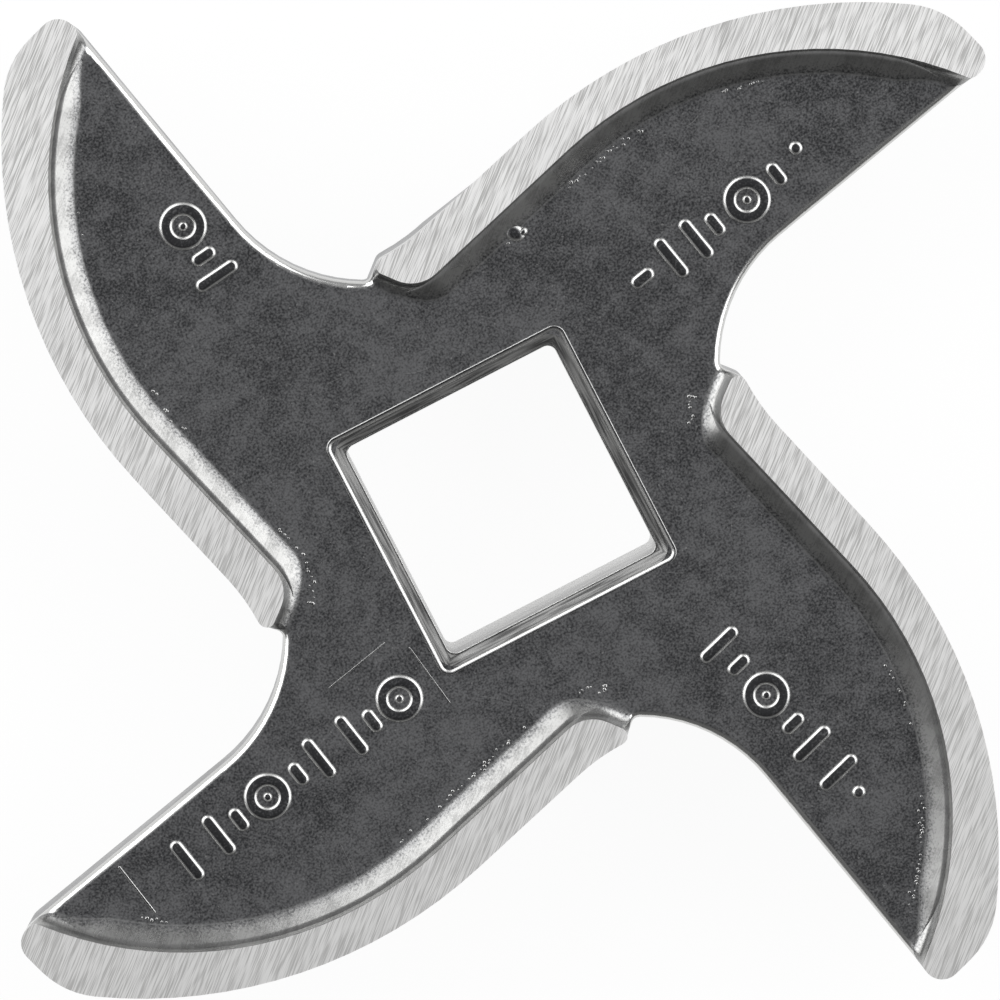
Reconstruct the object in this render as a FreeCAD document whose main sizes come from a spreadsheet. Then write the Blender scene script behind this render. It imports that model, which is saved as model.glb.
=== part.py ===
import FreeCAD, Part
import math
import os
import Sketcher

# A four-armed meat grinder knife, cast in one piece and then ground on its cutting lands.
# Millimetres. The origin is the drive hole's centre on the back of the hub, and +Z points
# to the lands. The hole's flats are square to X and Y, and the first arm points along +X.

SIZES = {
    "arm_count": 4,
    # Hub, with the square hole that the feed screw's stud passes through
    "square_across": 13.0,
    "square_corner": 0.5,
    "square_chamfer": 0.65,
    "hub_thickness": 8.4,
    "boss_across": 26.0,
    "boss_chamfer": 0.6,
    # Arm's end, which runs on a circle about the axis
    "tip_across": 73.0,
    "tip_corner": 1.1,
    "tip_round": 4.9,
    # Leading edge: a long arc over the crown, then a straight flank towards the root
    "crown_out": 18.48,
    "lead_radius": 27.4,
    "flank_angle": 15.5,
    # Knuckle at the root, which stands proud of the flank and turns down to the valley
    "knuckle_along": 0.3,
    "knuckle_rise": 0.39,
    "knuckle_radius": 0.65,
    "knuckle_relief": 11.3,
    "root_angle": 40.5,
    # Trailing edge: a straight line, then an arc down into the valley
    "trail_angle": 12.3,
    "trail_out": 1.48,
    "trail_start": 20.45,
    # From the trailing edge's direction round to the line from the axis to the tip's round
    "tip_turn": 6.1,
    "valley_arc": 9.15,
    "valley_corner": 0.5,
    # The leading wall leans in below the cutting edge, and the back slopes to thin the
    # trailing side
    "rake_angle": 6.0,
    "back_rise": 2.0,
    "back_angle": 11.0,
    "back_bevel": 0.4,
    # Ground land, its inner edge, its rounded root end and the cove down to the cast face
    "land_rise": 1.2,
    "land_width": 2.05,
    "land_radius": 20.7,
    "land_angle": 15.85,
    "land_end_along": 1.97,
    "land_end_radius": 2.0,
    "land_end_angle": 129.5,
    "cove_radius": 1.1,
    # Cast edge along the trailing side
    "trail_round": 0.45,
    # How far a cutting shape reaches past the metal that it cuts, and how far the block that is
    # cut away over the cast face reaches past the tips
    "tool_reach": 4.0,
    "block_margin": 24.0,
}

Vector = FreeCAD.Vector
AXIS = Vector(0, 0, 0)
UP = Vector(0, 0, 1)
# A sketch's own origin and X axis, and the centre of an arc, as constraints name them
ORIGIN = (-1, 1)
X_AXIS = -1
CENTRE = 3
# Places nearer to each other than this are the same place
SAME = 1e-4
# The most of the land's rise that the cove beside it may take
COVE_SHARE = 0.95
# Formulas of the sheet's cells: height of the lands over the back of the hub, place of the
# centre of the round at the tip, and how far along the arm the leading arc has its crown
LAND_TOP = "(Sizes.hub_thickness + Sizes.land_rise)"
ROUND_TURN = "((Sizes.trail_angle + Sizes.tip_turn) * 1 deg)"
ROUND_X = f"(Sizes.tip_across / 2 - Sizes.tip_round) * cos{ROUND_TURN}"
ROUND_Y = f"(Sizes.tip_across / 2 - Sizes.tip_round) * sin{ROUND_TURN}"
ARC_SPAN = "(Sizes.lead_radius - Sizes.tip_round)"
ARC_DROP = f"({ROUND_Y} + Sizes.lead_radius - Sizes.crown_out)"
CROWN_X = f"{ROUND_X} - sqrt({ARC_SPAN} ^ 2 - {ARC_DROP} ^ 2)"

doc = FreeCAD.newDocument("grinder_knife")
sheet = doc.addObject("Spreadsheet::Sheet", "Sizes")
for row, (alias, value) in enumerate(SIZES.items(), start=1):
    sheet.set(f"A{row}", alias)
    sheet.set(f"B{row}", str(value))
    sheet.setAlias(f"B{row}", alias)
doc.recompute()


def size(alias):
    return float(sheet.get(alias))


hub_top = size("hub_thickness")
land_top = hub_top + size("land_rise")
tip_radius = size("tip_across") / 2
reach = size("tool_reach")
block_radius = tip_radius + size("block_margin")


def heading(degrees):
    return Vector(math.cos(math.radians(degrees)), math.sin(math.radians(degrees)), 0)


def left_of(direction):
    return Vector(-direction.y, direction.x, 0)


def on_line(direction, out, along):
    """Point at an X on the line that passes the axis at a distance, out to the left of it."""
    return Vector(along, (out + direction.y * along) / direction.x, 0)


def lead_arc():
    """Centres of the round at the tip and of the long arc over the crown, which meet."""
    to_round = heading(size("trail_angle") + size("tip_turn"))
    round_centre = to_round * (tip_radius - size("tip_round"))
    depth = size("crown_out") - size("lead_radius")
    span = size("lead_radius") - size("tip_round")
    along = round_centre.x - math.sqrt(span ** 2 - (round_centre.y - depth) ** 2)
    return round_centre, Vector(along, depth, 0)


def meeting(first, first_radius, second, second_radius):
    """Where two circles meet, on the left of the line from the first centre to the second."""
    gap = (second - first).Length
    along = (first_radius ** 2 - second_radius ** 2 + gap ** 2) / (2 * gap)
    across = math.sqrt(first_radius ** 2 - along ** 2)
    direction = (second - first).normalize()
    return first + direction * along + left_of(direction) * across


class Line:
    """Straight stretch of an outline."""

    head, tail = 1, 2

    def __init__(self, start, end):
        self.shape = Part.LineSegment(start, end)


class Arc:
    """Round stretch of an outline, which turns to the left, or else to the right."""

    def __init__(self, centre, start, end, left=True):
        self.head, self.tail = (1, 2) if left else (2, 1)
        first, last = (start, end) if left else (end, start)
        circle = Part.Circle(centre, UP, (start - centre).Length)
        bearings = [math.atan2(p.y - centre.y, p.x - centre.x) for p in (first, last)]
        self.shape = Part.ArcOfCircle(circle, *bearings)


def new_sketch(body, name, role="XY_Plane", height=None):
    """Sketch on one of the body's own planes, lifted by a formula of the sheet's cells."""
    sketch = body.newObject("Sketcher::SketchObject", name)
    plane = next(item for item in body.Origin.OriginFeatures if item.Role == role)
    sketch.AttachmentSupport = [(plane, "")]
    sketch.MapMode = "FlatFace"
    if height:
        sketch.setExpression("AttachmentOffset.Base.z", height)
    return sketch


def relate(sketch, kind, *places):
    return sketch.addConstraint(Sketcher.Constraint(kind, *places))


def bind(sketch, formula, kind, *places):
    """Add a dimension whose value is a formula of the sheet's cells, angles in degrees."""
    value = float(sketch.evalExpression(formula))
    if kind == "Angle":
        value = math.radians(value)
        formula = f"({formula}) * 1 deg"
    index = relate(sketch, kind, *places, value)
    sketch.setExpression(f"Constraints[{index}]", formula)


def draw_loop(sketch, stretches, sharp):
    """Draw a closed outline. It runs on smoothly from each stretch to the next, but for those
    named sharp. Gives each stretch's number in the sketch."""
    names = list(stretches)
    for name in names:
        sketch.addGeometry(stretches[name].shape)
    for index, name in enumerate(names):
        following = (index + 1) % len(names)
        head = stretches[names[following]].head
        kind = "Coincident" if name in sharp else "Tangent"
        relate(sketch, kind, index, stretches[name].tail, following, head)
    return {name: index for index, name in enumerate(names)}


def arm_outline(body, name, height, raked):
    """Sketch of one arm from above: the trailing edge, the tip, the leading edge and the root,
    closed through the hub. At the back the tip and the leading side are raked in."""
    inset = land_top * math.tan(math.radians(size("rake_angle"))) if raked else 0.0
    tip = tip_radius - inset
    tip_round = size("tip_round") - inset
    lead_radius = size("lead_radius") - inset
    trail = heading(size("trail_angle"))
    flank = heading(size("flank_angle"))

    # Trailing side and the corner of the tip
    valley_end = on_line(trail, size("trail_out"), size("trail_start"))
    valley_centre = valley_end - left_of(trail) * size("valley_arc")
    valley_start = valley_centre - Vector(size("valley_arc"), 0, 0)
    corner_out = size("trail_out") + size("tip_corner")
    corner_along = math.sqrt((tip - size("tip_corner")) ** 2 - corner_out ** 2)
    corner_centre = trail * corner_along + left_of(trail) * corner_out
    corner_start = corner_centre - left_of(trail) * size("tip_corner")
    corner_end = corner_centre * (tip / corner_centre.Length)

    # Leading arc, and the round between it and the tip's circle
    round_centre, lead_centre = lead_arc()
    round_start = round_centre * (tip / round_centre.Length)
    round_end = lead_centre + (round_centre - lead_centre).normalize() * lead_radius

    # Root: the knuckle and its relief keep to the upper flank at any height
    flank_out = lead_centre.dot(left_of(flank)) + size("lead_radius")
    knuckle_out = flank_out + size("knuckle_rise") - size("knuckle_radius")
    knuckle_centre = on_line(flank, knuckle_out, size("knuckle_along"))
    relief_out = flank_out + size("knuckle_relief") - knuckle_out
    relief_span = size("knuckle_relief") + size("knuckle_radius")
    relief_along = math.sqrt(relief_span ** 2 - relief_out ** 2)
    relief_centre = knuckle_centre + left_of(flank) * relief_out + flank * relief_along
    flank_end = relief_centre - left_of(flank) * size("knuckle_relief")
    to_relief = (relief_centre - knuckle_centre).normalize()
    knuckle_start = knuckle_centre + to_relief * size("knuckle_radius")
    root_side = left_of(heading(size("root_angle")))
    knuckle_end = knuckle_centre + root_side * size("knuckle_radius")
    root_end = root_side * knuckle_end.dot(root_side)
    flank_length = math.sqrt((flank_end - lead_centre).Length ** 2 - lead_radius ** 2)
    flank_start = meeting(flank_end, flank_length, lead_centre, lead_radius)

    sketch = new_sketch(body, name, height=height)
    stretches = {
        "valley": Arc(valley_centre, valley_start, valley_end, left=False),
        "trail": Line(valley_end, corner_start),
        "corner": Arc(corner_centre, corner_start, corner_end),
        "tip": Arc(AXIS, corner_end, round_start),
        "round": Arc(round_centre, round_start, round_end),
        "lead": Arc(lead_centre, round_end, flank_start),
        "flank": Line(flank_start, flank_end),
        "relief": Arc(relief_centre, flank_end, knuckle_start, left=False),
        "knuckle": Arc(knuckle_centre, knuckle_start, knuckle_end),
        "root": Line(knuckle_end, root_end),
        "inward": Line(root_end, AXIS),
        "outward": Line(AXIS, valley_start),
    }
    sharp = ["root", "inward", "outward"] + (["flank"] if raked else [])
    at = draw_loop(sketch, stretches, sharp)

    less = f" - {LAND_TOP} * tan(Sizes.rake_angle * 1 deg)" if raked else ""
    bind(sketch, "Sizes.valley_arc", "Radius", at["valley"])
    bind(sketch, "Sizes.tip_corner", "Radius", at["corner"])
    bind(sketch, "Sizes.tip_across / 2" + less, "Radius", at["tip"])
    bind(sketch, "Sizes.tip_round" + less, "Radius", at["round"])
    bind(sketch, "Sizes.lead_radius" + less, "Radius", at["lead"])
    bind(sketch, "Sizes.knuckle_relief", "Radius", at["relief"])
    bind(sketch, "Sizes.knuckle_radius", "Radius", at["knuckle"])
    relate(sketch, "Coincident", at["tip"], CENTRE, *ORIGIN)
    relate(sketch, "Coincident", at["inward"], Line.tail, *ORIGIN)
    relate(sketch, "Horizontal", at["valley"], stretches["valley"].head, at["valley"], CENTRE)
    relate(sketch, "Perpendicular", at["root"], at["inward"])
    bind(sketch, "Sizes.trail_angle", "Angle", at["trail"])
    bind(sketch, "Sizes.trail_out", "Distance", *ORIGIN, at["trail"])
    bind(sketch, "Sizes.trail_start", "DistanceX", *ORIGIN, at["trail"], Line.head)
    bind(sketch, ROUND_Y, "DistanceY", *ORIGIN, at["round"], CENTRE)
    bind(sketch, "Sizes.lead_radius - Sizes.crown_out", "DistanceY", at["lead"], CENTRE, *ORIGIN)
    bind(sketch, "Sizes.knuckle_along", "DistanceX", *ORIGIN, at["knuckle"], CENTRE)
    bind(sketch, "180 + Sizes.root_angle", "Angle", at["root"])

    upper = at["flank"]
    if raked:
        # The upper flank and leading arc, drawn as guides for the root
        upper_arc = sketch.addGeometry(Part.Circle(lead_centre, UP, size("lead_radius")), True)
        upper_start = lead_centre + left_of(flank) * size("lead_radius")
        upper = sketch.addGeometry(Part.LineSegment(upper_start, flank_end), True)
        relate(sketch, "Coincident", upper_arc, CENTRE, at["lead"], CENTRE)
        bind(sketch, "Sizes.lead_radius", "Radius", upper_arc)
        relate(sketch, "Tangent", upper, Line.head, upper_arc)
        relate(sketch, "Tangent", upper, Line.tail, at["relief"], stretches["relief"].head)
    bind(sketch, "180 + Sizes.flank_angle", "Angle", upper)
    sunk = "Sizes.knuckle_radius - Sizes.knuckle_rise"
    bind(sketch, sunk, "Distance", at["knuckle"], CENTRE, upper)
    return sketch


def back_slope(body):
    """Sketch across the arm of the metal that its sloped back leaves out."""
    crown = size("crown_out")
    fall = math.tan(math.radians(size("back_angle")))
    low_left = Vector(-crown, -reach, 0)
    low_right = Vector(crown + reach, -reach, 0)
    high_right = Vector(crown + reach, size("back_rise") - reach * fall, 0)
    high_left = Vector(-crown, size("back_rise") + 2 * crown * fall, 0)

    sketch = new_sketch(body, "BackSlope", "YZ_Plane")
    stretches = {
        "under": Line(low_left, low_right),
        "right": Line(low_right, high_right),
        "slope": Line(high_right, high_left),
        "left": Line(high_left, low_left),
    }
    at = draw_loop(sketch, stretches, list(stretches))
    relate(sketch, "Horizontal", at["under"])
    relate(sketch, "Vertical", at["right"])
    relate(sketch, "Vertical", at["left"])
    bind(sketch, "Sizes.tool_reach", "DistanceY", at["under"], Line.head, *ORIGIN)
    past_crown = "Sizes.crown_out + Sizes.tool_reach"
    bind(sketch, past_crown, "DistanceX", *ORIGIN, at["right"], Line.head)
    bind(sketch, "Sizes.crown_out", "DistanceX", at["left"], Line.head, *ORIGIN)
    bind(sketch, "180 - Sizes.back_angle", "Angle", at["slope"])

    # The slope's height is given where it passes under the crown
    under_crown = sketch.addGeometry(Part.Point(Vector(crown, size("back_rise"), 0)), True)
    bind(sketch, "Sizes.crown_out", "DistanceX", *ORIGIN, under_crown, 1)
    bind(sketch, "Sizes.back_rise", "DistanceY", *ORIGIN, under_crown, 1)
    relate(sketch, "PointOnObject", under_crown, 1, at["slope"])
    return sketch


def land_outline(body):
    """Sketch of one land from above: its inner edge and its rounded root end, closed well
    outside the metal."""
    slope = heading(size("land_angle"))
    crown = size("crown_out") - size("land_width")
    arc_centre = Vector(lead_arc()[1].x, crown - size("land_radius"), 0)
    # The arc is run on past the trailing edge, to the X axis
    arc_span = math.sqrt(size("land_radius") ** 2 - arc_centre.y ** 2)
    arc_start = Vector(arc_centre.x + arc_span, 0, 0)
    arc_end = arc_centre + left_of(slope) * size("land_radius")
    end_out = arc_end.dot(left_of(slope)) + size("land_end_radius")
    end_centre = on_line(slope, end_out, size("land_end_along"))
    end_start = end_centre - left_of(slope) * size("land_end_radius")
    exit_way = heading(size("land_end_angle"))
    end_end = end_centre + left_of(exit_way) * size("land_end_radius")
    exit_end = end_end + exit_way * reach
    top_left = Vector(exit_end.x, size("crown_out") + reach, 0)
    top_right = Vector(tip_radius + size("block_margin") / 2, top_left.y, 0)
    low_right = Vector(top_right.x, 0, 0)

    sketch = new_sketch(body, "LandOutline", height="Sizes.hub_thickness")
    stretches = {
        "arc": Arc(arc_centre, arc_start, arc_end),
        "slope": Line(arc_end, end_start),
        "end": Arc(end_centre, end_start, end_end, left=False),
        "exit": Line(end_end, exit_end),
        "rise": Line(exit_end, top_left),
        "over": Line(top_left, top_right),
        "fall": Line(top_right, low_right),
        "back": Line(low_right, arc_start),
    }
    at = draw_loop(sketch, stretches, ["exit", "rise", "over", "fall", "back"])

    bind(sketch, "Sizes.land_radius", "Radius", at["arc"])
    bind(sketch, "Sizes.land_end_radius", "Radius", at["end"])
    bind(sketch, CROWN_X, "DistanceX", *ORIGIN, at["arc"], CENTRE)
    depth = "Sizes.land_radius + Sizes.land_width - Sizes.crown_out"
    bind(sketch, depth, "DistanceY", at["arc"], CENTRE, *ORIGIN)
    bind(sketch, "180 + Sizes.land_angle", "Angle", at["slope"])
    bind(sketch, "Sizes.land_end_along", "DistanceX", *ORIGIN, at["end"], CENTRE)
    bind(sketch, "Sizes.land_end_angle", "Angle", at["exit"])
    bind(sketch, "Sizes.tool_reach", "Distance", at["exit"])
    relate(sketch, "Vertical", at["rise"])
    relate(sketch, "Horizontal", at["over"])
    relate(sketch, "Vertical", at["fall"])
    relate(sketch, "Horizontal", at["back"])
    relate(sketch, "PointOnObject", at["arc"], stretches["arc"].head, X_AXIS)
    past_crown = "Sizes.crown_out + Sizes.tool_reach"
    bind(sketch, past_crown, "DistanceY", *ORIGIN, at["over"], Line.head)
    past_tip = "Sizes.tip_across / 2 + Sizes.block_margin / 2"
    bind(sketch, past_tip, "DistanceX", *ORIGIN, at["fall"], Line.head)
    return sketch


def circle(body, name, across, height=None):
    """Sketch of a circle about the axis."""
    sketch = new_sketch(body, name, height=height)
    diameter = float(sketch.evalExpression(across))
    disc = sketch.addGeometry(Part.Circle(AXIS, UP, diameter / 2))
    relate(sketch, "Coincident", disc, CENTRE, *ORIGIN)
    bind(sketch, across, "Diameter", disc)
    return sketch


def square(body, name):
    """Sketch of the square hole, with its rounded corners, about the axis."""
    half = size("square_across") / 2
    flat = half - size("square_corner")
    stretches = {}
    for side in range(4):
        out = heading(90 * side)
        ahead = left_of(out)
        flat_end = out * half + ahead * flat
        stretches[f"flat{side}"] = Line(out * half - ahead * flat, flat_end)
        corner = Arc((out + ahead) * flat, flat_end, out * flat + ahead * half)
        stretches[f"corner{side}"] = corner
    sketch = new_sketch(body, name)
    at = draw_loop(sketch, stretches, [])
    for side in range(4):
        flat_line = at[f"flat{side}"]
        ends = [*ORIGIN, flat_line, Line.head]
        if side in (2, 3):
            ends = [flat_line, Line.head, *ORIGIN]
        across = side in (0, 2)
        relate(sketch, "Vertical" if across else "Horizontal", flat_line)
        bind(sketch, "Sizes.square_across / 2", "DistanceX" if across else "DistanceY", *ends)
        bind(sketch, "Sizes.square_corner", "Radius", at[f"corner{side}"])
    return sketch


def pad(body, name, sketch, length):
    """Metal of a sketch's outline, up from its plane."""
    block = body.newObject("PartDesign::Pad", name)
    block.Profile = sketch
    block.setExpression("Length", length)
    doc.recompute()
    return block


def cut_through(body, name, sketch):
    """Cut a sketch's outline out of everything on both sides of its plane."""
    cut = body.newObject("PartDesign::Pocket", name)
    cut.Profile = sketch
    cut.Type = "ThroughAll"
    cut.SideType = "Symmetric"
    doc.recompute()
    return cut


def around(body, feature, mode):
    """Repeat about the Z axis, once for each arm."""
    pattern = body.newObject("PartDesign::PolarPattern", "Around" + feature.Name)
    pattern.TransformMode = mode
    if mode == "Features":
        pattern.Originals = [feature]
    axis = next(item for item in body.Origin.OriginFeatures if item.Role == "Z_Axis")
    pattern.Axis = (axis, [""])
    pattern.Angle = 360
    pattern.setExpression("Occurrences", "Sizes.arm_count")
    body.Tip = pattern
    doc.recompute()
    return pattern


def dress(body, kind, name, feature, wanted, formula):
    """Fillet or chamfer those edges of a feature that pass a test."""
    edges = enumerate(feature.Shape.Edges, start=1)
    dressed = body.newObject("PartDesign::" + kind, name)
    dressed.Base = (feature, [f"Edge{index}" for index, edge in edges if wanted(edge)])
    dressed.setExpression("Radius" if kind == "Fillet" else "Size", formula)
    doc.recompute()
    return dressed


def round_back(edge):
    """Whether an edge runs round the sloped back, away from the axis."""
    fall = math.tan(math.radians(size("back_angle")))
    for vertex in edge.Vertexes:
        point = vertex.Point
        height = size("back_rise") + (size("crown_out") - point.y) * fall
        if abs(point.z - height) > SAME or math.hypot(point.x, point.y) < SAME:
            return False
    return True


def from_axis(edge):
    """Distance from the axis of an upright edge that reaches the top, or else infinity."""
    ends = [vertex.Point for vertex in edge.Vertexes]
    upright = len(ends) == 2 and math.dist(ends[0][:2], ends[1][:2]) < SAME
    if not upright or max(end.z for end in ends) < land_top - SAME:
        return math.inf
    return math.hypot(ends[0].x, ends[0].y)


def at_island(edge):
    """Whether an edge lies at the foot of an island's wall, and isn't the block's long rim."""
    return edge.BoundBox.ZMax < hub_top + SAME and edge.Length < block_radius * 2


def at_brim(edge):
    """Whether an edge runs where the cast face meets a wall that falls away from it."""
    box = edge.BoundBox
    level = abs(box.ZMin - hub_top) < SAME and abs(box.ZMax - hub_top) < SAME
    beside = face.Shape.ancestorsOfType(edge, Part.Face) if level else []
    return any(wall.BoundBox.ZMin < hub_top / 2 for wall in beside)


def at_mouth(edge):
    """Whether an edge runs round a mouth of the square hole."""
    box = edge.BoundBox
    outmost = max(box.XMax, -box.XMin, box.YMax, -box.YMin)
    return box.ZLength < SAME and outmost < size("square_across") / 2 + SAME


def round_boss(edge):
    """Whether an edge runs round the boss at the back."""
    box = edge.BoundBox
    return box.ZMax < SAME and box.XMax > size("square_across") / 2 + size("square_chamfer") + SAME


# One arm, from its outline at the lands down to the raked one at the back, thinned at the back
knife = doc.addObject("PartDesign::Body", "knife")
knife.Label = "knife"
arm = knife.newObject("PartDesign::AdditiveLoft", "Arm")
arm.Profile = arm_outline(knife, "ArmTop", LAND_TOP, False)
arm.Sections = [arm_outline(knife, "ArmBottom", None, True)]
arm.Ruled = True
doc.recompute()
thin = cut_through(knife, "ThinBack", back_slope(knife))
bevelled = dress(knife, "Chamfer", "BackBevel", thin, round_back, "Sizes.back_bevel")

# All the arms, with a small round in the corner of each valley, and the boss that joins them
arms = around(knife, bevelled, "Whole shape")
nearest = min(from_axis(edge) for edge in arms.Shape.Edges)
valleys = dress(knife, "Fillet", "ValleyCorners", arms,
                lambda edge: from_axis(edge) < nearest + SAME, "Sizes.valley_corner")
boss = pad(knife, "Boss", circle(knife, "BossCircle", "Sizes.boss_across"), "Sizes.hub_thickness")

# What is cut away over the cast face: a block, but for an island over each land, with a
# round at the foot of every island's wall that leaves a cove beside the land
cutter = doc.addObject("PartDesign::Body", "face_cutter")
block_across = "Sizes.tip_across + 2 * Sizes.block_margin"
disc = circle(cutter, "BlockCircle", block_across, "Sizes.hub_thickness")
block = pad(cutter, "Block", disc, "Sizes.land_rise + Sizes.tool_reach")
island = cut_through(cutter, "Island", land_outline(cutter))
islands = around(cutter, island, "Features")
cove_limit = f"min(Sizes.cove_radius; {COVE_SHARE} * Sizes.land_rise)"
cove = dress(cutter, "Fillet", "Cove", islands, at_island, cove_limit)
face = knife.newObject("PartDesign::Boolean", "CastFace")
face.Type = "Cut"
face.setObjects([cutter])
knife.Tip = face
doc.recompute()

# The cast edges, the square drive hole with both its mouths chamfered, and the boss's rim
brim = dress(knife, "Fillet", "Brim", face, at_brim, "Sizes.trail_round")
hole = cut_through(knife, "DriveHole", square(knife, "DriveSquare"))
mouths = dress(knife, "Chamfer", "HoleChamfer", hole, at_mouth, "Sizes.square_chamfer")
rim = dress(knife, "Chamfer", "BossChamfer", mouths, round_boss, "Sizes.boss_chamfer")
knife.Tip = rim
knife.Placement = FreeCAD.Placement()
doc.recompute()

for item in doc.Objects:
    if "Invalid" in item.State or "Error" in item.State:
        raise RuntimeError(f"{item.Name} failed: {item.State}")
for before, after in [(arm, thin), (thin, bevelled), (block, islands), (boss, face),
                      (face, brim), (brim, hole), (hole, mouths), (mouths, rim)]:
    if after.Shape.Volume > before.Shape.Volume - SAME:
        raise RuntimeError(f"{after.Name} took nothing away")
if knife.Shape.isNull() or not knife.Shape.isValid() or len(knife.Shape.Solids) != 1:
    raise RuntimeError("the knife isn't one sound solid")

os.makedirs("parts", exist_ok=True)
knife.Shape.exportStep("parts/knife.step")
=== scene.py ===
import math
import random

import bpy
from mathutils import Matrix, Vector


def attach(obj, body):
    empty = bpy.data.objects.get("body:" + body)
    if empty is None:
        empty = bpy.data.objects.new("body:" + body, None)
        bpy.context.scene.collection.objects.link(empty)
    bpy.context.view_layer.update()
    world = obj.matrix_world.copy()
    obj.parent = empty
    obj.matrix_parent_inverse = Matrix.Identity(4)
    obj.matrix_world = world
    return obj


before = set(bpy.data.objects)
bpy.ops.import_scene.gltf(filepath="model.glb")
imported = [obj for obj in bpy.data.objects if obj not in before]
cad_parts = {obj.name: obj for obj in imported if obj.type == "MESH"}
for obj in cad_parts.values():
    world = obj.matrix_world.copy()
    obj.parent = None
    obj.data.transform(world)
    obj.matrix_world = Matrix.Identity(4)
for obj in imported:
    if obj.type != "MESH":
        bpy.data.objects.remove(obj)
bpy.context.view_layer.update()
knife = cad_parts["knife"]

# Camera. The picture was taken from straight above the knife, about half a metre away, with the
# camera turned so that the first arm points up to the right, and leaning a little to one side.
CAMERA_PLACE = Vector((0.00384, 0.04011, 0.51860))
PICTURE_RIGHT = Vector((0.88872, -0.45752, 0.02910))
PICTURE_UP = Vector((0.45838, 0.88575, -0.07306))
FOCAL_LENGTH_MM, SENSOR_MM = 332.3, 36.0
NEAREST = 0.01
lens = bpy.data.cameras.new("camera")
lens.lens = FOCAL_LENGTH_MM
lens.sensor_width = SENSOR_MM
lens.clip_start = NEAREST
camera = bpy.data.objects.new("camera", lens)
backward = PICTURE_RIGHT.cross(PICTURE_UP)
turned = Matrix((PICTURE_RIGHT, PICTURE_UP, backward)).transposed()
camera.matrix_world = Matrix.Translation(CAMERA_PLACE) @ turned.to_4x4()
bpy.context.scene.collection.objects.link(camera)
bpy.context.scene.camera = camera


# Light. Two large softboxes stand low to the left and right in the picture. The room overhead is
# dim, so that level steel looks dark, and it is darkest towards the picture's bottom.
BOX_WIDE, BOX_HIGH, BOX_DISTANCE = 0.72, 0.36, 0.45
BOX_ELEVATION, BOX_WATTS = 31, 2.4
LEFT_BEARING, RIGHT_BEARING = 148, 21
ROOM = (0.37, 0.37, 0.375, 1)
ROOM_DARK = (0.15, 0.15, 0.15, 1)
# How far a direction leans to the picture's bottom where the room begins to darken, and is darkest
DARK_FROM, DARK_TO = 0.15, 0.6


class Field:
    """A socket of a shader's node tree, with arithmetic on it written as on numbers."""

    def __init__(self, tree, socket=None):
        self.tree = tree
        self.socket = socket

    def node(self, kind, settings, values, output=0):
        """A new node's output. Its settings are set first, then its sockets' values or links."""
        made = self.tree.nodes.new(kind)
        for name, value in settings.items():
            setattr(made, name, value)
        for name, value in values.items():
            if isinstance(value, Field):
                self.tree.links.new(value.socket, made.inputs[name])
            else:
                made.inputs[name].default_value = value
        return Field(self.tree, made.outputs[output] if made.outputs else None)

    def other(self, output):
        """Another output of the same node."""
        return Field(self.tree, self.socket.node.outputs[output])

    def math(self, operation, *values):
        """What a Math node makes of the values."""
        return self.node("ShaderNodeMath", {"operation": operation}, dict(enumerate(values)))

    def __add__(self, value):
        return self.math("ADD", self, value)

    def __sub__(self, value):
        return self.math("SUBTRACT", self, value)

    def __rsub__(self, value):
        return self.math("SUBTRACT", value, self)

    def __mul__(self, value):
        return self.math("MULTIPLY", self, value)

    def __abs__(self):
        return self.math("ABSOLUTE", self)

    __radd__ = __add__
    __rmul__ = __mul__

    def step(self, low, high):
        """0 below low and 1 above high, with a soft rise between them."""
        limits = {"Value": self, "From Min": low, "From Max": high}
        return self.node("ShaderNodeMapRange", {"interpolation_type": "SMOOTHSTEP"}, limits)

    def blend(self, first, second):
        """One colour where this is 0 and another where it is 1."""
        return self.node("ShaderNodeMix", {"data_type": "RGBA"}, {0: self, 6: first, 7: second}, 2)

    def along(self, direction):
        """How far this vector reaches in a direction."""
        product = {"operation": "DOT_PRODUCT"}
        return self.node("ShaderNodeVectorMath", product, {0: self, 1: direction}, "Value")


def softbox(name, bearing):
    """Rectangular lamp aimed at the knife, its bearing counted from the picture's right."""
    around = math.radians(bearing)
    up = math.radians(BOX_ELEVATION)
    right = Vector((PICTURE_RIGHT.x, PICTURE_RIGHT.y, 0)).normalized()
    ahead = Vector((-right.y, right.x, 0))
    level = right * math.cos(around) + ahead * math.sin(around)
    towards = level * math.cos(up) + Vector((0, 0, math.sin(up)))
    lamp = bpy.data.lights.new(name, "AREA")
    lamp.shape = "RECTANGLE"
    lamp.size, lamp.size_y = BOX_WIDE, BOX_HIGH
    lamp.energy = BOX_WATTS
    box = bpy.data.objects.new(name, lamp)
    box.location = towards * BOX_DISTANCE
    box.rotation_euler = towards.to_track_quat("Z", "Y").to_euler()
    bpy.context.scene.collection.objects.link(box)


softbox("left_softbox", LEFT_BEARING)
softbox("right_softbox", RIGHT_BEARING)

world = bpy.data.worlds.new("room")
world.use_nodes = True
bpy.context.scene.world = world
world.node_tree.nodes.clear()
room = Field(world.node_tree)
way = room.node("ShaderNodeTexCoord", {}, {}, "Generated")
picture_down = -Vector((PICTURE_UP.x, PICTURE_UP.y, 0)).normalized()
dim = way.along(picture_down).step(DARK_FROM, DARK_TO).blend(ROOM, ROOM_DARK)
shown = room.node("ShaderNodeBackground", {}, {"Color": dim})
room.node("ShaderNodeOutputWorld", {}, {"Surface": shown})
bpy.context.scene.view_settings.view_transform = "Standard"


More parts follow.
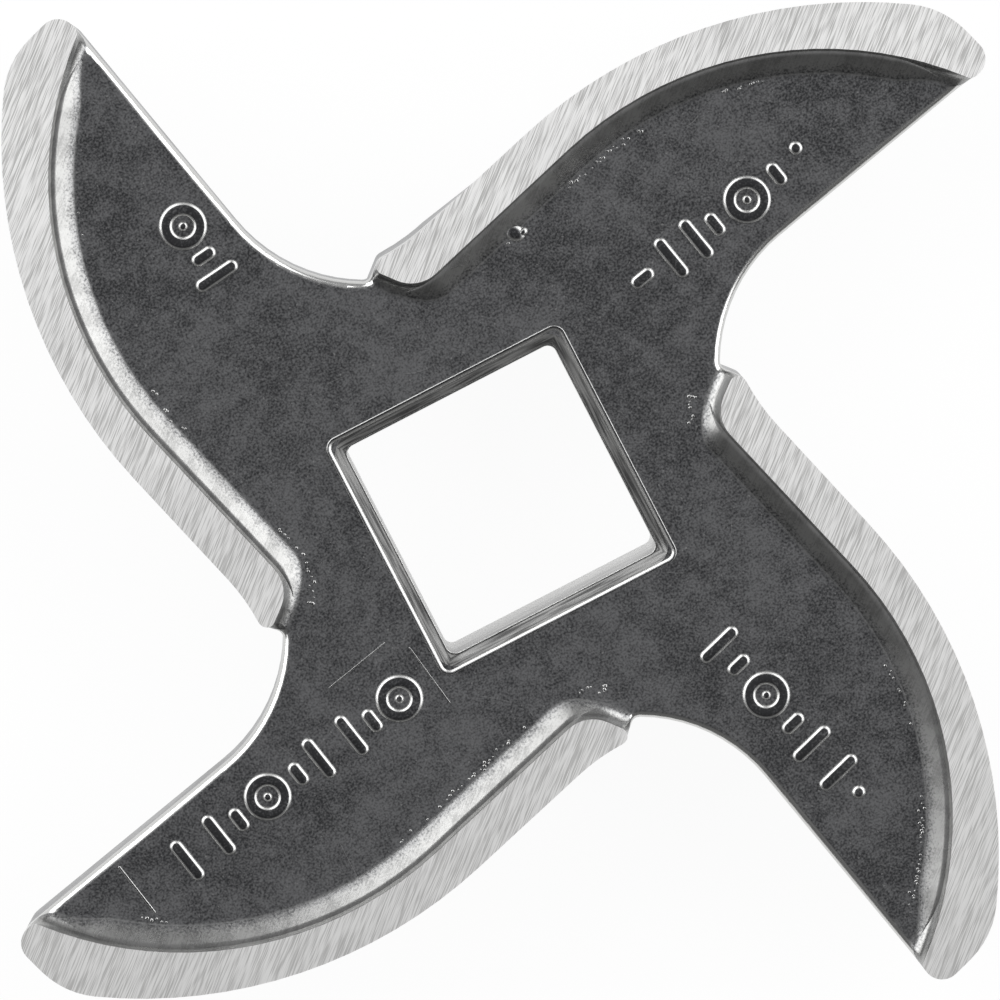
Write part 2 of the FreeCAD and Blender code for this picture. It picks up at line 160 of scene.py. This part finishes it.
# Floor. A white sheet under the knife, which shows as plain white but keeps a faint shadow. To
# the camera and in the steel's mirror it mostly glows, so the light on it needn't be raised. It
# reaches far enough to fill low views too.
FLOOR_SIZE, FLOOR_GAP = 14.0, 0.00001
FLOOR_WHITE = (0.95, 0.95, 0.95, 1)
FLOOR_GLOW = 0.95


def new_material(name):
    material = bpy.data.materials.new(name)
    material.use_nodes = True
    material.node_tree.nodes.clear()
    return material, Field(material.node_tree)


bpy.ops.mesh.primitive_plane_add(size=FLOOR_SIZE)
floor = bpy.context.object
floor.name = "floor"
floor.location.z = -FLOOR_GAP
material, shade = new_material("white_sheet")
path = shade.node("ShaderNodeLightPath", {}, {})
seen = path.other("Is Camera Ray") + path.other("Is Glossy Ray") + path.other("Is Transmission Ray")
lit = shade.node("ShaderNodeBsdfDiffuse", {}, {"Color": FLOOR_WHITE})
glow = shade.node("ShaderNodeEmission", {}, {"Color": (1, 1, 1, 1), "Strength": 1.0})
sheet = shade.node("ShaderNodeMixShader", {}, {0: seen * FLOOR_GLOW, 1: lit, 2: glow})
shade.node("ShaderNodeOutputMaterial", {}, {"Surface": sheet})
floor.data.materials.append(material)


# Knife. Stainless steel, cast in one piece and tumbled. Its cast faces are dark and mottled: the mottling
# and some of the darkness are the cast skin's own, and the rest of the darkness is painted shade for the
# dim room they mirror. Its proud edges are rubbed bright. The lands are then ground flat, with scratches
# that run one way in the picture, and the coves beside them are cut by the edge of the wheel.
MM_IN_METRE = 1000
# Heights of the cast face and the lands over the back, and half the mouth's width over its chamfer
HUB_TOP, LAND_TOP = 8.4, 9.6
MOUTH_HALF = 7.15
# Cast skin colours: partly the skin's own, partly painted shade for the dim room that level steel mirrors
CAST_DARK = (0.064, 0.065, 0.068, 1)
CAST_PALE = (0.288, 0.290, 0.295, 1)
MOUTH_DARK = (0.07, 0.07, 0.07, 1)
MOUTH_PALE = (0.30, 0.30, 0.295, 1)
# Rubbed steel on worn edges, specks and marks, also used as painted light on the drive hole's walls
WORN_AND_LIT = (0.62, 0.62, 0.61, 1)
WHEELED = (0.36, 0.36, 0.354, 1)
WHEELED_DARK = (0.25, 0.25, 0.246, 1)
GROUND = (0.89, 0.888, 0.88, 1)
SCRATCHED = (0.47, 0.467, 0.46, 1)
# Grains to a millimetre in each noise of the cast skin, and in the hole's drawn lines out from
# the walls, along them and up them
CLOUDS, PATCHES, GRAIN, SPECKS = 0.16, 0.9, 8.0, 5.0
CONTOURS, BREAKS = 0.12, 0.5
DRAWN_OUT, DRAWN_ALONG, DRAWN_UP = 9.0, 0.35, 2.0
# Depths of the cast grain and of the scratches, in mm
GRAIN_DEPTH, SCRATCH_DEPTH = 0.0022, 0.005
# Heights over the back up to which the hole's walls are fully painted with light from the floor, and from
# which they show only their drawn lines
WALL_LIT_TO, WALL_UNLIT_FROM = 0.5, 7.9
# Heights over the cast face up to which a cove is cast, and from which it is ground
COVE_CAST, COVE_GROUND = 0.18, 0.55
# Bearing of the scratches from the first arm, by the bearings of both in the picture
SCRATCH_BEARING = math.radians(68 - 27.3)
# Length and width of a fine scratch and of a broad one, in mm
FINE_SCRATCH, BROAD_SCRATCH = (1.5, 0.05), (2.6, 0.2)
# Places in mm towards the picture's bottom where painted shade on the lands begins, and is deepest
LAND_SHADE_FROM, LAND_SHADE_TO = -24.0, 26.0


def steel(name, raised):
    """The knife's steel. On a raised mark every slope is rubbed, and there is no land or cove."""
    material, shade = new_material(name)
    place = shade.node("ShaderNodeTexCoord", {}, {}, "Object")
    enlarge = {"operation": "SCALE"}
    in_mm = shade.node("ShaderNodeVectorMath", enlarge, {0: place, "Scale": float(MM_IN_METRE)})
    height = shade.node("ShaderNodeSeparateXYZ", {}, {0: in_mm}, "Z")
    facing = shade.node("ShaderNodeNewGeometry", {}, {}, "Normal")
    level = shade.node("ShaderNodeSeparateXYZ", {}, {0: facing}, "Z")

    def noise(scale, detail=2.0, vector=in_mm):
        """Soft noise about 0.5, with so many grains to a millimetre."""
        values = {"Vector": vector, "Scale": scale, "Detail": detail}
        return shade.node("ShaderNodeTexNoise", {}, values)

    # Cast skin: clouds, patches and grain. Raised marks are darker than the face they stand on
    clouds = noise(CLOUDS, 3.0).step(0.34, 0.68)
    patches = noise(PATCHES, 3.0).step(0.34, 0.70)
    grain = noise(GRAIN)
    tone = clouds * 0.2 + patches * 0.24 + (grain - 0.5) * 1.7 + (-0.04 if raised else 0.34)
    cast = tone.step(0.0, 1.0).blend(CAST_DARK, CAST_PALE)
    roughness = 0.33 - 0.05 * clouds

    if raised:
        rubbed = 1 - level.step(0.80, 0.97)
        colour = rubbed.blend(cast, WORN_AND_LIT)
        relief = grain * GRAIN_DEPTH * (1 - rubbed)
        finish = {"Metallic": 1.0, "Roughness": roughness + 0.08 * rubbed}
    else:
        # Bright specks, and short hairlines on the contours of a slow noise
        specks = noise(SPECKS, 1.0).step(0.71, 0.76)
        hairline = 1 - abs(noise(CONTOURS, 0.0) - 0.5).step(0.0004, 0.0011)
        hairline = hairline * noise(BREAKS, 1.0).step(0.60, 0.63)
        cast = (specks * 0.4 + hairline * 0.4).blend(cast, WORN_AND_LIT)

        # Parts of the knife, by height over its back and by how level they are
        land = height.step(LAND_TOP - 0.05, LAND_TOP - 0.01) * level.step(0.97, 0.995)
        above = height.step(HUB_TOP + 0.01, HUB_TOP + 0.06) * level.step(-0.03, 0.03)
        cove = above * (1 - land)
        wall = cove * (1 - level.step(0.25, 0.65))
        slope = 1 - level.step(0.93, 0.995)

        # The drive hole's walls and chamfers, with the drawn lines of the die along its sides. Towards
        # the back the walls are painted brighter, a painted light for the light from the floor below
        east = shade.node("ShaderNodeSeparateXYZ", {}, {0: in_mm}, "X")
        north = shade.node("ShaderNodeSeparateXYZ", {}, {0: in_mm}, "Y")
        from_hole = shade.math("MAXIMUM", abs(east), abs(north))
        in_hole = 1 - from_hole.step(MOUTH_HALF + 0.02, MOUTH_HALF + 0.06)
        lines = {"X": from_hole * DRAWN_OUT, "Y": (east + north) * DRAWN_ALONG, "Z": height * DRAWN_UP}
        drawn = noise(1.0, 2.0, shade.node("ShaderNodeCombineXYZ", {}, lines))
        drawn = drawn.step(0.33, 0.67).blend(MOUTH_DARK, MOUTH_PALE)
        # Painted light: the walls are painted brighter towards the back, for light from the floor below
        drawn = (1 - height.step(WALL_LIT_TO, WALL_UNLIT_FROM)).blend(drawn, WORN_AND_LIT)
        mouth = in_hole * slope
        cast = mouth.blend(cast, drawn)

        # Rounded trailing edges, rubbed bright
        round_edge = height.step(HUB_TOP - 0.6, HUB_TOP - 0.45) * (1 - in_hole)
        rubbed = round_edge * (1 - above) * slope

        # Ground lands: short streaks along the scratches, in two widths, with painted shade that darkens
        # them towards the picture's bottom
        turns = {"Vector": in_mm, "Rotation": (0, 0, SCRATCH_BEARING)}
        streak = {"vector_type": "TEXTURE"}
        fine = shade.node("ShaderNodeMapping", streak, {**turns, "Scale": (*FINE_SCRATCH, 1)})
        broad = shade.node("ShaderNodeMapping", streak, {**turns, "Scale": (*BROAD_SCRATCH, 1)})
        streaks = noise(1.0, 1.0, fine) * 0.82 + noise(1.0, 1.0, broad) * 0.18
        # Painted shade: the lands darken towards the picture's bottom, as the room does
        painted_land_shade = in_mm.along(picture_down).step(LAND_SHADE_FROM, LAND_SHADE_TO) * 0.34
        scratched = (streaks.step(0.34, 0.60) * (1 - painted_land_shade)).blend(SCRATCHED, GROUND)

        # The cove's ground skin is dappled, and fades out among the cast grain at its foot
        ground = cove * (height + grain * 0.5).step(HUB_TOP + COVE_CAST, HUB_TOP + COVE_GROUND)
        dapple = (streaks * 0.5 + patches * 0.2 + grain * 0.4).step(0.36, 0.66)
        wheeled = dapple.blend(WHEELED_DARK, WHEELED)

        colour = rubbed.blend(ground.blend(cast, wheeled), WORN_AND_LIT)
        colour = land.blend(colour, scratched)
        relief = grain * GRAIN_DEPTH * (1 - land) * (1 - rubbed) + streaks * land * SCRATCH_DEPTH
        finish = {
            "Metallic": 1 - 0.5 * land - 0.6 * mouth - 0.35 * wall,
            "Roughness": roughness - 0.03 * cove - 0.08 * rubbed + 0.17 * land,
        }
    in_metres = relief * (1 / MM_IN_METRE)
    bump = shade.node("ShaderNodeBump", {}, {"Height": in_metres, "Distance": 1.0})
    finish = {**finish, "Base Color": colour, "Normal": bump}
    surface = shade.node("ShaderNodeBsdfPrincipled", {}, finish)
    shade.node("ShaderNodeOutputMaterial", {}, {"Surface": surface})
    return material


knife_look = steel("cast_steel", False)
knife.data.materials[0] = knife_look


# Raised marks. Plain rounded bars, rings and dots stand on the cast face of each arm, cast with
# the knife from its mould. Their rims are rubbed bright and their tops are left dark.
MARK_RISE, MARK_HALF = 0.25, 0.39
SUNK = 0.06
# Cross-section of a mark's side, from its foot to its flat top: share of the half width, height
SIDE = [(1.0, -SUNK), (0.98, 0.08), (0.92, 0.14), (0.80, 0.185), (0.60, 0.235), (0.50, MARK_RISE)]
TICK_LONG, TICK_SHORT, DOT = 2.7, 1.5, 0.8
RING_RADIUS = 0.96
PIP_LENGTH, PIP_HALF = 0.56, 0.27
# For each arm: the bearing of the marks' long way, and each mark's kind and place
MARKS = {
    "marks_first_arm": (-78, [
        ("across", 12.57, 7.37), ("long", 14.5, 7.65), ("long", 16.2, 7.95), ("short", 17.5, 8.2),
        ("ring", 19.7, 8.6), ("short", 21.8, 9.1), ("dot", 23.4, 9.9)]),
    "marks_second_arm": (6.7, [("ring", -8.7, 21.6), ("short", -8.45, 19.6), ("long", -8.3, 18.3)]),
    "marks_third_arm": (-79, [
        ("ring", -10.1, -7.2), ("short", -12.0, -7.6), ("long", -13.4, -7.8), ("long", -15.6, -8.1),
        ("short", -17.0, -8.35), ("ring", -19.1, -8.7), ("short", -21.1, -9.1), ("long", -22.5, -9.35),
        ("long", -24.7, -9.8)]),
    "marks_fourth_arm": (16.7, [
        ("long", 7.05, -12.7), ("short", 7.5, -14.2), ("ring", 8.1, -16.4), ("short", 8.7, -18.5),
        ("long", 9.1, -20.0), ("long", 9.7, -22.1), ("dot", 10.2, -23.6)]),
}


def around_bar(length, radius, count=10):
    """Outline of a bar along X with round ends."""
    points = []
    for side in (1, -1):
        for step in range(count + 1):
            turn = math.pi * (step / count - 0.5)
            points.append((side * (length / 2 + radius * math.cos(turn)), side * radius * math.sin(turn)))
    return points


def around_oval(long, short, count=40):
    turns = [2 * math.pi * step / count for step in range(count)]
    return [(long * math.cos(turn), short * math.sin(turn)) for turn in turns]


def add_to_knife(name, points, faces, look):
    """A smooth mesh that belongs to the knife, from points in mm."""
    mesh = bpy.data.meshes.new(name)
    mesh.from_pydata([[value / MM_IN_METRE for value in point] for point in points], [], faces)
    mesh.polygons.foreach_set("use_smooth", [True] * len(faces))
    mesh.materials.append(look)
    piece = bpy.data.objects.new(name, mesh)
    bpy.context.scene.collection.objects.link(piece)
    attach(piece, "root")


def stand_on_face(name, shapes):
    """Stacks of outlines on the cast face, as one mesh. A shape is its place, its bearing, its
    outlines with their heights, and whether its top is closed."""
    points, faces = [], []
    for (x, y), bearing, loops, closed in shapes:
        turn = math.radians(bearing)
        first = len(points)
        count = len(loops[0][0])
        for outline, rise in loops:
            for along, across in outline:
                east = x + along * math.cos(turn) - across * math.sin(turn)
                north = y + along * math.sin(turn) + across * math.cos(turn)
                points.append((east, north, HUB_TOP + rise))
        for row in range(len(loops) - 1):
            base = first + row * count
            for step in range(count):
                after = (step + 1) % count
                faces.append((base + step, base + after, base + count + after, base + count + step))
        if closed:
            faces.append(tuple(range(len(points) - count, len(points))))
    add_to_knife(name, points, faces, mark_look)


def bar(place, bearing, length, half=MARK_HALF):
    loops = [(around_bar(length - 2 * half, half * share), rise) for share, rise in SIDE]
    return place, bearing, loops, True


def ring(place, bearing):
    """A mark bent round into a circle, up its outer side and down its inner one."""
    outer = [(RING_RADIUS + MARK_HALF * share, rise) for share, rise in SIDE]
    inner = [(RING_RADIUS - MARK_HALF * share, rise) for share, rise in reversed(SIDE)]
    return place, bearing, [(around_oval(radius, radius), rise) for radius, rise in outer + inner], False


mark_look = steel("mark_steel", True)
for name, (bearing, marks) in MARKS.items():
    shapes = []
    for kind, x, y in marks:
        if kind == "ring":
            shapes.append(ring((x, y), bearing))
            shapes.append(bar((x, y), bearing, PIP_LENGTH, PIP_HALF))
        elif kind == "across":
            shapes.append(bar((x, y), bearing + 90, TICK_SHORT))
        else:
            length = {"long": TICK_LONG, "short": TICK_SHORT, "dot": DOT}[kind]
            shapes.append(bar((x, y), bearing, length))
    stand_on_face(name, shapes)


# Casting marks. A low nub of a few lumps beside the first arm's cove, and thin raised lines where
# the mould's insert was let in beside the marks of the third arm. They are part of the casting.
# Cross-section of a lump, from its sunk foot to its top: share of its width, height
LUMP = [(1.0, -SUNK), (0.96, 0.03), (0.85, 0.10), (0.6, 0.17), (0.35, 0.21), (0.12, 0.22)]
# Place, bearing, and half length and half width of each lump
NUB = [
    ((6.95, 13.95), 20, 0.40, 0.28),
    ((7.16, 13.35), -70, 0.34, 0.26),
    ((7.42, 12.86), -50, 0.62, 0.48),
    ((7.86, 12.70), 10, 0.30, 0.24),
]
# The two ends and the half width of each line, and the lines' height as a share of a mark's
INSERT_LINES = [
    ((-28.22, -8.41), (-27.64, -11.53), 0.07),
    ((-8.3, -4.95), (-7.72, -8.69), 0.045),
    ((-13.26, -4.88), (-9.4, -4.07), 0.04),
]
LINE_SHARE = 0.2


def lump(place, bearing, long, short):
    loops = [(around_oval(long * share, short * share, 24), rise) for share, rise in LUMP]
    return place, bearing, loops, True


def line(start, end, half):
    middle = ((start[0] + end[0]) / 2, (start[1] + end[1]) / 2)
    length = math.dist(start, end)
    bearing = math.degrees(math.atan2(end[1] - start[1], end[0] - start[0]))
    loops = [(around_bar(length, half * share, 4), rise * LINE_SHARE) for share, rise in SIDE]
    return middle, bearing, loops, True


stand_on_face("casting_nub", [lump(*sizes) for sizes in NUB])
stand_on_face("insert_lines", [line(*sizes) for sizes in INSERT_LINES])


# Cove ramps. The wheel's worn edge runs each cove out over the cast face in a shallow slope,
# which meets the steeper round beside the land. It is ground with the cove.
# The round's foot is an arc from the tip, a straight stretch and a tight arc round the root
COVE_CENTRE, COVE_RADIUS = (17.767, -4.27), 19.6
TIP_BEARING, SLOPE_BEARING = 43.5, 105.85
END_CENTRE, END_RADIUS = (1.97, 14.842), 3.1
END_FROM, END_TO = -74.15, -128.0
ROUND_RADIUS, RAMP_ANGLE = 1.1, math.radians(24)
# Place of the ramp's foot at full width and where it has run out, and the width of its bend
RAMP_FOOT, NO_RAMP_FOOT, RAMP_BEND = -0.48, 0.07, 0.3
BEND_COUNT, SLOPE_COUNT = 4, 4
# The ramp starts just over the cast face, with a lip in it, and ends with one in the round
RAMP_LIFT = 0.004
FIRST_LIP, LAST_LIP = (-0.08, -0.01), (0.03, -0.02)
RAMP_STEP = 0.2
# Length over which a ramp grows out of the round at the tip, and goes back into it at the root
TIP_GROWTH, ROOT_GROWTH = 3.0, 2.8


def cove_foot(along):
    """The place so far along a cove's foot from the tip, and the direction up the cove there."""
    arc = math.radians(SLOPE_BEARING - TIP_BEARING) * COVE_RADIUS
    slope = Vector((math.cos(math.radians(SLOPE_BEARING)), math.sin(math.radians(SLOPE_BEARING))))
    top = Vector(COVE_CENTRE) + slope * COVE_RADIUS
    bend = Vector(END_CENTRE) - slope * END_RADIUS
    straight = (bend - top).length
    if along < arc:
        turn = math.radians(TIP_BEARING) + along / COVE_RADIUS
        out = Vector((math.cos(turn), math.sin(turn)))
        return Vector(COVE_CENTRE) + out * COVE_RADIUS, out
    if along < arc + straight:
        return top.lerp(bend, (along - arc) / straight), slope
    turn = math.radians(max(END_TO, END_FROM - math.degrees((along - arc - straight) / END_RADIUS)))
    out = Vector((math.cos(turn), math.sin(turn)))
    return Vector(END_CENTRE) + out * END_RADIUS, -out


def ramp_section(growth):
    """Places up the cove from its foot, and heights, of a slope from the cast face to the round."""
    foot = RAMP_FOOT * growth + NO_RAMP_FOOT * (1 - growth)
    bend = RAMP_BEND / math.sin(RAMP_ANGLE)
    section = [(foot + FIRST_LIP[0], FIRST_LIP[1])]
    for step in range(BEND_COUNT + 1):
        turn = RAMP_ANGLE * step / BEND_COUNT
        section.append((foot + bend * math.sin(turn), bend * (1 - math.cos(turn)) + RAMP_LIFT))
    # Where the straight slope meets the round, whose centre is its radius above the foot
    start, low = section[-1]
    rise = math.tan(RAMP_ANGLE)
    below = low - rise * start - ROUND_RADIUS
    left = ROUND_RADIUS ** 2 * (1 + rise ** 2) - below ** 2
    meets = (-rise * below + math.sqrt(max(left, 0.0))) / (1 + rise ** 2)
    for step in range(1, SLOPE_COUNT + 1):
        place = start + (meets - start) * step / SLOPE_COUNT
        section.append((place, low + rise * (place - start)))
    return section + [(meets + LAST_LIP[0], section[-1][1] + LAST_LIP[1])]


def cove_length():
    """Length of the foot's path, to where it stops turning round the root."""
    along = RAMP_STEP
    while (cove_foot(along)[0] - cove_foot(along - RAMP_STEP)[0]).length > RAMP_STEP / 2:
        along += RAMP_STEP
    return along - RAMP_STEP


points, faces = [], []
length = cove_length()
rows = int(length / RAMP_STEP) + 1
for quarter in range(4):
    spin = Matrix.Rotation(math.pi / 2 * quarter, 2)
    for row in range(rows):
        along = row * RAMP_STEP
        growth = max(0.0, min(1.0, along / TIP_GROWTH, (length - along) / ROOT_GROWTH))
        point, up_cove = cove_foot(along)
        section = ramp_section(growth * growth * (3 - 2 * growth))
        for place, rise in section:
            points.append((*(spin @ (point + up_cove * place)), HUB_TOP + rise))
        if row:
            across = len(section)
            base = len(points) - 2 * across
            faces += [(base + step, base + across + step, base + across + step + 1, base + step + 1)
                      for step in range(across - 1)]
add_to_knife("cove_ramps", points, faces, knife_look)


# Crumbs at the foot of each ramp, where the wheel's edge pushed up a burr on the cast face. They
# lie in short runs along the cove, and round it at the root.
CRUMB_STEP = 0.14
# For each arm, runs of crumbs along the path from the tip, in mm, with the share of places filled
RUNS = [
    [(10.0, 13.0, 0.35), (17.5, 23.0, 0.55), (26.0, 28.0, 0.3)],
    [(8.0, 10.0, 0.2), (19.0, 24.0, 0.3), (30.0, 38.0, 0.5)],
    [(4.0, 6.5, 0.35), (20.0, 30.0, 0.4), (33.0, 38.0, 0.4)],
    [(1.5, 8.0, 0.5), (12.0, 16.0, 0.25), (33.0, 38.0, 0.35)],
]
# Usual place of a crumb up the cove from its foot, and how far crumbs stray from it
CRUMB_PLACE, CRUMB_STRAY = -0.52, 0.09
SMALLEST, LARGEST = 0.04, 0.10
# A crumb's half length and its height, as shares of its half width
CRUMB_LONG, CRUMB_HIGH = 1.3, 0.6
# Cross-section of a crumb, from its sunk foot to its top: share of its width, share of its height
CRUMB = [(1.0, -0.4), (0.85, 0.5), (0.5, 0.9), (0.15, 1.0)]


def crumb(place, bearing, half):
    loops = [(around_oval(half * CRUMB_LONG * share, half * share, 10), half * CRUMB_HIGH * rise)
             for share, rise in CRUMB]
    return place, bearing, loops, True


draw = random.Random(7)
crumbs = []
for quarter, runs in enumerate(RUNS):
    spin = Matrix.Rotation(math.pi / 2 * quarter, 2)
    for start, stop, share in runs:
        for count in range(int((stop - start) / CRUMB_STEP)):
            if draw.random() > share:
                continue
            point, up_cove = cove_foot(start + count * CRUMB_STEP)
            point = spin @ (point + up_cove * draw.gauss(CRUMB_PLACE, CRUMB_STRAY))
            half = draw.uniform(SMALLEST, LARGEST)
            crumbs.append(crumb(point, draw.uniform(0, 180), half))
stand_on_face("cove_crumbs", crumbs)


# Rim of the drive hole's mouth, a fine proud edge that the die rolled up round the chamfer, and a
# bead that it left at the chamfer's inner edge. Passing studs and tumbling have rubbed both bright.
CHAMFER = 0.65
# Sections from the outer foot over the crest to the inner slope: place out of the chamfer's outer
# edge, height over the cast face
RIM_SECTION = [(0.25, -0.03), (0.235, 0.06), (0.205, 0.115), (0.16, 0.115), (-0.02, 0.01), (-0.07, -0.09)]
BEAD_SECTION = [(-0.56, -0.62), (-0.58, -0.55), (-0.62, -0.53), (-0.66, -0.56), (-0.68, -0.61),
                (-0.645, -0.72)]
# Corner radii at the chamfer's outer edge and at its inner one
RIM_CORNER, BEAD_CORNER = 0.45, 0.55


def around_square(half, corner, count=8):
    """Outline of a square with rounded corners, anticlockwise."""
    points = []
    for quarter in range(4):
        for step in range(count + 1):
            turn = math.pi / 2 * (quarter + step / count)
            x = (half - corner) * (1 if quarter in (0, 3) else -1) + corner * math.cos(turn)
            y = (half - corner) * (1 if quarter in (0, 1) else -1) + corner * math.sin(turn)
            points.append((x, y))
    return points


rim = [(around_square(MOUTH_HALF + out, RIM_CORNER + out), up) for out, up in RIM_SECTION]
bead = [(around_square(MOUTH_HALF + out, BEAD_CORNER + CHAMFER + out), up) for out, up in BEAD_SECTION]
stand_on_face("mouth_rim", [((0, 0), 0, rim, False), ((0, 0), 0, bead, False)])
